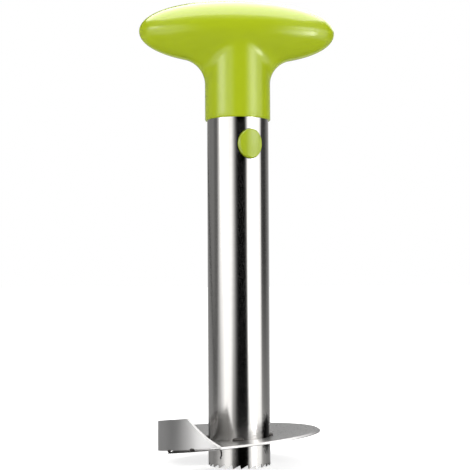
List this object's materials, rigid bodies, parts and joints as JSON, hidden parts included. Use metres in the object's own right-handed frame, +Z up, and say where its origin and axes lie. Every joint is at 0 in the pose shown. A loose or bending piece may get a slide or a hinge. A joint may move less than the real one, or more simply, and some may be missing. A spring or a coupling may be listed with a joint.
{
  "type": "pineapple corer",
  "caption": "Kitchen corer: a toothed steel tube with a helical slicing ring and upright side blade at its foot, and a moulded T-handle locked in by snap buttons.",
  "frame": {"origin": "on the tube's axis, in the plane of the tooth tips", "axes": "+Z up the tube towards the handle, +X along the grip, +Y completes the right-handed set"},
  "size_m": [0.1026, 0.0834, 0.2406],
  "materials": {
    "tube_steel": "stainless tube, polished with a fine brush along its length",
    "blade_steel": "stainless sheet, satin, with bright ground edges",
    "weld_metal": "dark oxidised weld beads",
    "handle_plastic": "glossy lime-green moulded plastic",
    "button_plastic": "satin-gloss lime-green moulded plastic",
    "plug_plastic": "moulded lime-green plastic, as it leaves the mould",
    "spring_steel": "drawn stainless spring wire"
  },
  "bodies": {
    "corer": {"tube": "tube_steel", "slicing_ring": "blade_steel", "side_blade": "blade_steel", "ring_welds": "weld_metal", "side_blade_welds": "weld_metal", "handle_front": "handle_plastic", "handle_rear": "handle_plastic", "plug": "plug_plastic", "plug_cap": "plug_plastic", "button_spring": "spring_steel"},
    "front_button": {"button_front": "button_plastic"},
    "rear_button": {"button_rear": "button_plastic"}
  },
  "joints": [
    {"name": "front_button_press", "type": "slide", "parent": "corer", "child": "front_button", "axis": [-0.2974, 0.9548, 0], "range_m": [0, 0.003], "stiffness_N_per_m": 1000, "springref_m": -0.002, "deforming": ["button_spring"]},
    {"name": "rear_button_press", "type": "slide", "parent": "corer", "child": "rear_button", "axis": [0.2974, -0.9548, 0], "range_m": [0, 0.003], "stiffness_N_per_m": 1000, "springref_m": -0.002, "deforming": ["button_spring"]}
  ]
}
